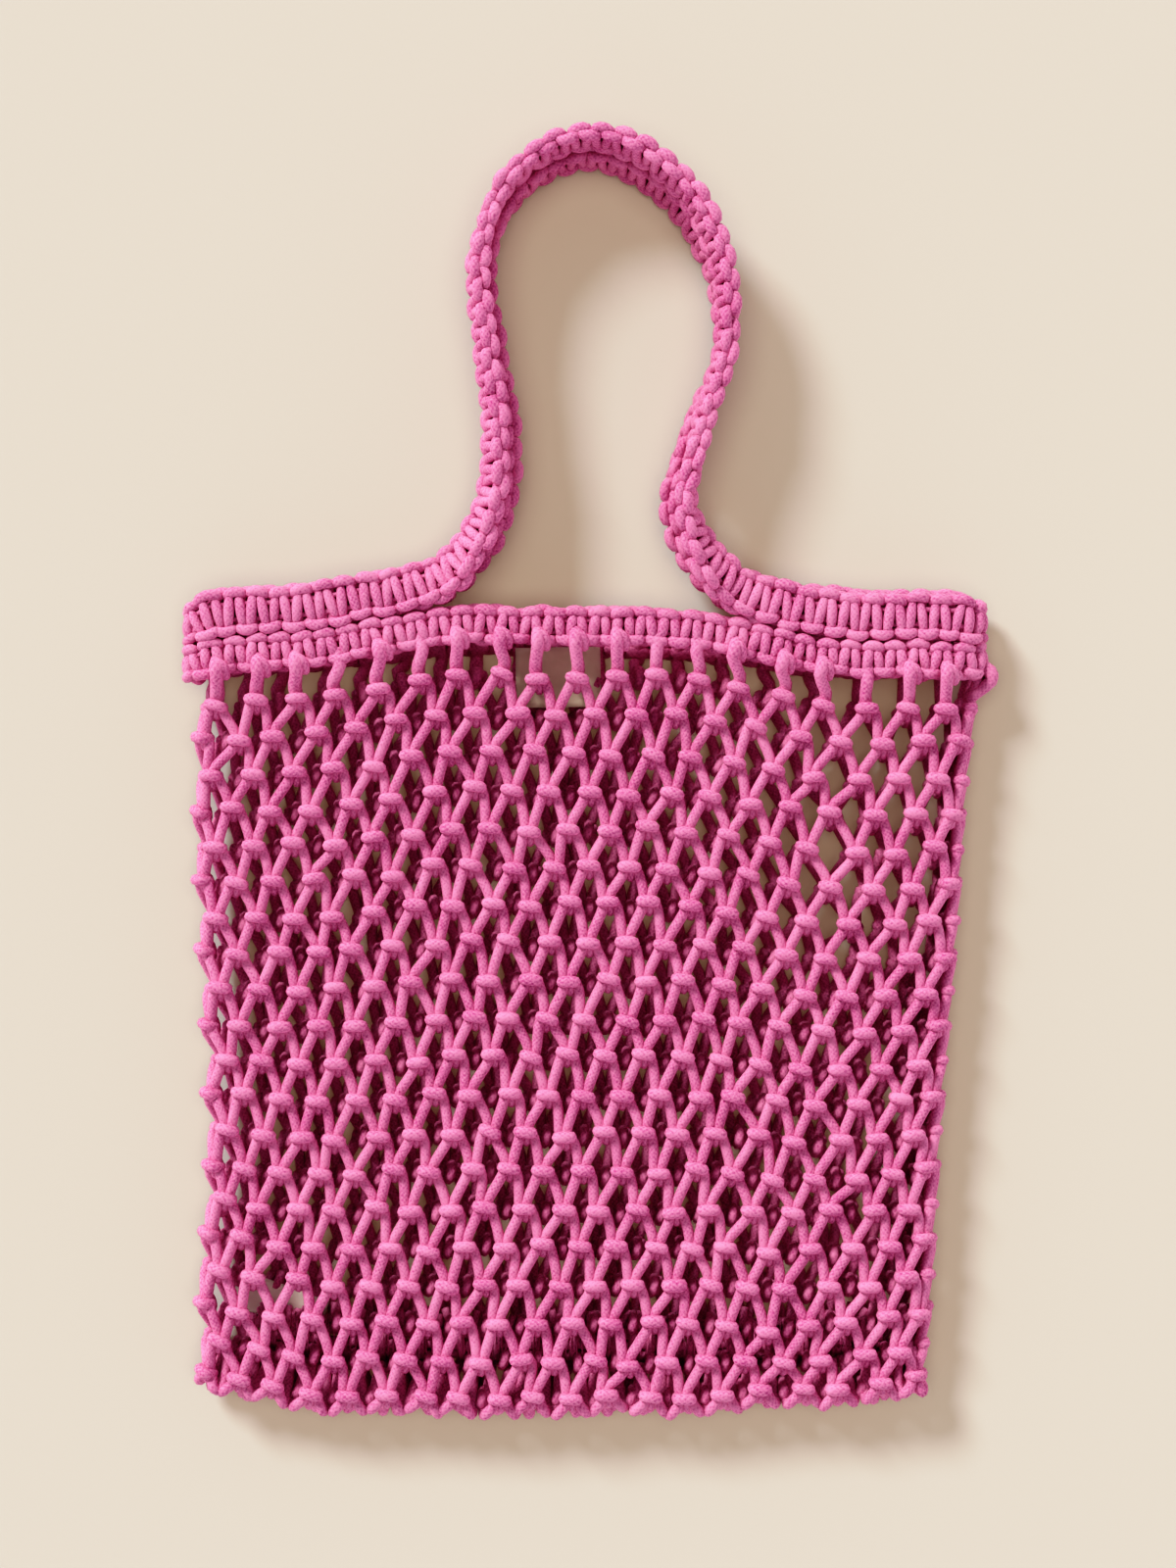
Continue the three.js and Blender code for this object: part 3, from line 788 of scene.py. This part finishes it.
def strap_run(face):
    """The strap's (x, y, level, tilt) rows over one face of the bag, from left to right."""
    x, y, tilt, tuck = np.array(STRAP_LINE, dtype=float).T
    on_rim = smooth_line(RIM_LINE, x) + RIM_HEIGHT / 2 + STRAP_HEIGHT / 2 + STRAP_RIM_GAP
    y = np.where(np.isnan(y), on_rim, y)
    turned = np.radians(tilt)
    half_rise = (STRAP_HEIGHT * np.sin(turned) + STRAP_DEPTH * np.abs(np.cos(turned))) / 2
    level = half_rise + STRAP_FLOOR_GAP
    if face == "front":
        # The front handle lies on the back one, so its middle is three half rises up.
        level = np.maximum(STRAP_LEVEL, 3 * half_rise + STRAP_FLOOR_GAP)
    else:
        ahead = unit(np.stack([np.gradient(x), np.gradient(y)], axis=-1))
        y = y + STRAP_BACK_SHIFT * (x + FOLD_X) / (2 * FOLD_X) - tuck * ahead[:, 0]
        x = x + tuck * ahead[:, 1]
    rows = np.stack([x, y, level, tilt], axis=-1)
    step = np.linalg.norm(np.diff(rows[:, :3], axis=0), axis=-1)
    along = np.concatenate([[0], np.cumsum(step)])
    at = np.linspace(0, along[-1], STRAP_POINTS)
    return np.stack([smooth_line(np.stack([along, c], axis=-1), at) for c in rows.T], axis=-1)


strap = folded_band(strap_run("front"), strap_run("back"), STRAP_HEIGHT, STRAP_FOLD_TRIM)
handle_strap = cord_piece("strap_braid", band_cords(strap, STRAP_HEIGHT), cotton_cord)
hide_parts("handle_strap")


# Labels
# Two small cloth labels sewn inside the back panel: a woven tan one below the rim, and a cream
# one in the lower left corner. Both are bare.
LABELS = {
    "woven_label": {"level": 14.6, "bow": 0.7, "lift": 2.4, "turn": 1.0},
    "care_label": {"level": 11.6, "bow": 0.6, "lift": -2.6, "turn": -19.0},
}
LABEL_THICKNESS = 0.4
LABEL_WAVE = {"across": 5.0, "start": 0.6, "along": 6.0, "along_share": 0.5}
LABEL_GRID = {"across": 16, "along": 10}
# How far the ribs stand out, both as bumps and as painted shade between them.
RIB_RELIEF_AND_SHADE = 0.15
WEFT_TO_WARP = 1.4


def woven_cloth(name, light, deep, threads):
    """Plain woven tape: crossing ribs at a fine pitch, dulled a little in patches, with painted
    shade in the low places between the ribs.
    """
    material = bpy.data.materials.new(name)
    material.use_nodes = True
    link = material.node_tree.links.new
    surface = material.node_tree.nodes["Principled BSDF"]
    place = add_node(material, "ShaderNodeTexCoord")
    split = add_node(material, "ShaderNodeSeparateXYZ")
    link(place.outputs["Object"], split.inputs[0])
    turns = 2 * math.pi * threads
    warp, weft = (
        math_node(material, "SINE", math_node(material, "MULTIPLY", split.outputs[axis], waves))
        for axis, waves in (("X", turns), ("Y", turns * WEFT_TO_WARP))
    )
    ribs = math_node(material, "MULTIPLY", warp, weft)
    patches = add_node(material, "ShaderNodeTexNoise", Scale=120.0, Detail=3.0)
    link(place.outputs["Object"], patches.inputs["Vector"])
    # The ribs bump the cloth and darken its colour where they dip: painted shade in the weave.
    tone_and_shade = math_node(material, "MULTIPLY_ADD", ribs, RIB_RELIEF_AND_SHADE, patches.outputs["Fac"])
    tone = add_node(material, "ShaderNodeValToRGB")
    tone.color_ramp.elements[0].position = 0.25
    tone.color_ramp.elements[0].color = (*deep, 1)
    tone.color_ramp.elements[1].position = 0.75
    tone.color_ramp.elements[1].color = (*light, 1)
    link(tone_and_shade, tone.inputs["Fac"])
    link(tone.outputs["Color"], surface.inputs["Base Color"])
    bump = add_node(material, "ShaderNodeBump", Strength=0.4, Distance=0.0002)
    link(ribs, bump.inputs["Height"])
    link(bump.outputs["Normal"], surface.inputs["Normal"])
    surface.inputs["Roughness"].default_value = 0.7
    return material


tan_tape = woven_cloth(
    "tan_tape",
    light=(0.70, 0.69, 0.56),
    deep=(0.62, 0.61, 0.48),
    threads=1800.0,
)
cream_tape = woven_cloth(
    "cream_tape",
    light=(0.80, 0.78, 0.72),
    deep=(0.72, 0.70, 0.63),
    threads=2200.0,
)
label_cloth = {"woven_label": ("label_tan", tan_tape), "care_label": ("label_cream", cream_tape)}
tapes = []
for name, label in LABELS.items():
    slot, cloth = label_cloth[name]
    middle, (width, length) = LABEL_PATCHES[name]
    turn = math.radians(label["turn"])
    shape = bmesh.new()
    segments = {"x_segments": LABEL_GRID["across"], "y_segments": LABEL_GRID["along"]}
    bmesh.ops.create_grid(shape, **segments, size=0.5)
    for vert in shape.verts:
        across, along = vert.co.x, vert.co.y
        wave_across = math.cos(across * LABEL_WAVE["across"] + LABEL_WAVE["start"])
        wave_along = LABEL_WAVE["along_share"] * math.sin(along * LABEL_WAVE["along"])
        rise = label["bow"] * (wave_across + wave_along)
        aside, ahead = across * width, along * length
        vert.co.x = middle[0] + math.cos(turn) * aside - math.sin(turn) * ahead
        vert.co.y = middle[1] + math.sin(turn) * aside + math.cos(turn) * ahead
        vert.co.z = label["level"] + rise - label["lift"] * along
    bmesh.ops.scale(shape, vec=(0.001, 0.001, 0.001), verts=shape.verts)
    mesh = bpy.data.meshes.new(f"{name}_tape")
    shape.to_mesh(mesh)
    shape.free()
    mesh.shade_smooth()
    mesh.materials.append(cloth)
    tape = bpy.data.objects.new(f"{name}_tape", mesh)
    bpy.context.scene.collection.objects.link(tape)
    wall = tape.modifiers.new("cloth_wall", "SOLIDIFY")
    wall.thickness = LABEL_THICKNESS / 1000
    wall.offset = 0
    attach(tape, "root")
    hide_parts(name)
    tapes.append(tape)


# Floor, light and camera
# The bag lies on a plain pale floor. One soft light comes from the upper left, with a warm fill
# all round it and lamps for the floor and the labels alone. The camera looks straight down.
FLOOR_HALF_SIZE = 30.0  # metres
FLOOR_COLOUR = (0.205, 0.23, 0.2325)
FLOOR_GLOW = (0.10, 0.045, 0.03)
KEY = {"towards": (-0.9, 1.1, 1.0), "spread": 16.0, "strength": 3.2, "colour": (1.0, 0.95, 0.87)}
FLOOR_KEY = {**KEY, "strength": 3.9, "colour": (1.0, 0.96, 0.96)}
OVERHEAD = (0.0, 0.0, 1.0)
FLOOR_FILL = {"towards": OVERHEAD, "spread": 45.0, "strength": 5.0, "colour": (1.0, 0.755, 0.53)}
LABEL_FILL = {"towards": OVERHEAD, "spread": 120.0, "strength": 1.3, "colour": (1.0, 0.86, 0.70)}
FILL = {"colour": (1.0, 0.87, 0.90), "level": 2.1, "overhead_loss": 1.0}
# Print tones of the picture, as light in the scene and light in the picture.
TONES = (
    (0.0, 0.0),
    (0.05, 0.01),
    (0.12, 0.055),
    (0.25, 0.178),
    (0.5, 0.45),
    (1.0, 0.915),
    (1.3, 0.99),
)
CAMERA = {"x": 1.3, "y": -5.2, "above_net": 1300.0, "net_level": 28.0, "frame_height": 694.4}
SENSOR = 36.0

shape = bmesh.new()
bmesh.ops.create_grid(shape, x_segments=2, y_segments=2, size=FLOOR_HALF_SIZE)
mesh = bpy.data.meshes.new("floor")
shape.to_mesh(mesh)
shape.free()
floor_paint = bpy.data.materials.new("pale_floor")
floor_paint.use_nodes = True
floor_surface = floor_paint.node_tree.nodes["Principled BSDF"]
floor_surface.inputs["Base Color"].default_value = (*FLOOR_COLOUR, 1)
floor_surface.inputs["Roughness"].default_value = 0.9
floor_surface.inputs["Specular IOR Level"].default_value = 0.1
floor_surface.inputs["Emission Color"].default_value = (*FLOOR_GLOW, 1)
floor_surface.inputs["Emission Strength"].default_value = 1.0
mesh.materials.append(floor_paint)
floor = bpy.data.objects.new("floor", mesh)
bpy.context.scene.collection.objects.link(floor)

# The floor takes more of the key light than the bag does, and some from straight above. Wide
# light from above keeps the labels pale inside the bag.
for name, light, receivers in (
    ("key", KEY, None),
    ("floor_key", FLOOR_KEY, [floor]),
    ("floor_fill", FLOOR_FILL, [floor]),
    ("label_fill", LABEL_FILL, tapes),
):
    bulb = bpy.data.lights.new(name, "SUN")
    bulb.angle = math.radians(light["spread"])
    bulb.energy = light["strength"]
    bulb.color = light["colour"]
    lamp = bpy.data.objects.new(name, bulb)
    lamp.location = light["towards"]
    lamp.rotation_euler = lamp.location.to_track_quat("Z", "Y").to_euler()
    bpy.context.scene.collection.objects.link(lamp)
    if receivers:
        lit_things = bpy.data.collections.new(f"{name}_receivers")
        for thing in receivers:
            lit_things.objects.link(thing)
        lamp.light_linking.receiver_collection = lit_things

world = bpy.data.worlds.new("studio")
world.use_nodes = True
sky = world.node_tree.nodes["Background"]
sky.inputs["Color"].default_value = (*FILL["colour"], 1)
sky_way = add_node(world, "ShaderNodeTexCoord")
sky_split = add_node(world, "ShaderNodeSeparateXYZ")
world.node_tree.links.new(sky_way.outputs["Generated"], sky_split.inputs[0])
overhead = math_node(world, "MAXIMUM", sky_split.outputs["Z"], 0.0)
sky_loss = -FILL["overhead_loss"] * FILL["level"]
dimmed = math_node(world, "MULTIPLY_ADD", overhead, sky_loss, FILL["level"])
world.node_tree.links.new(dimmed, sky.inputs["Strength"])
bpy.context.scene.world = world
picture = bpy.context.scene.view_settings
picture.view_transform = "Standard"
picture.use_curve_mapping = True
brightest, whitest = TONES[-1]
picture.curve_mapping.white_level = (brightest, brightest, brightest)
every_channel = picture.curve_mapping.curves[3]
every_channel.points[-1].location = (1.0, whitest)
for light, tone in TONES[1:-1]:
    every_channel.points.new(light / brightest, tone)
picture.curve_mapping.update()

camera_lens = bpy.data.cameras.new("camera")
camera_lens.sensor_fit = "VERTICAL"
camera_lens.sensor_height = SENSOR
camera_lens.lens = SENSOR * CAMERA["above_net"] / CAMERA["frame_height"]
camera = bpy.data.objects.new("camera", camera_lens)
camera_level = CAMERA["above_net"] + CAMERA["net_level"]
camera.location = (CAMERA["x"] / 1000, CAMERA["y"] / 1000, camera_level / 1000)
bpy.context.scene.collection.objects.link(camera)
bpy.context.scene.camera = camera
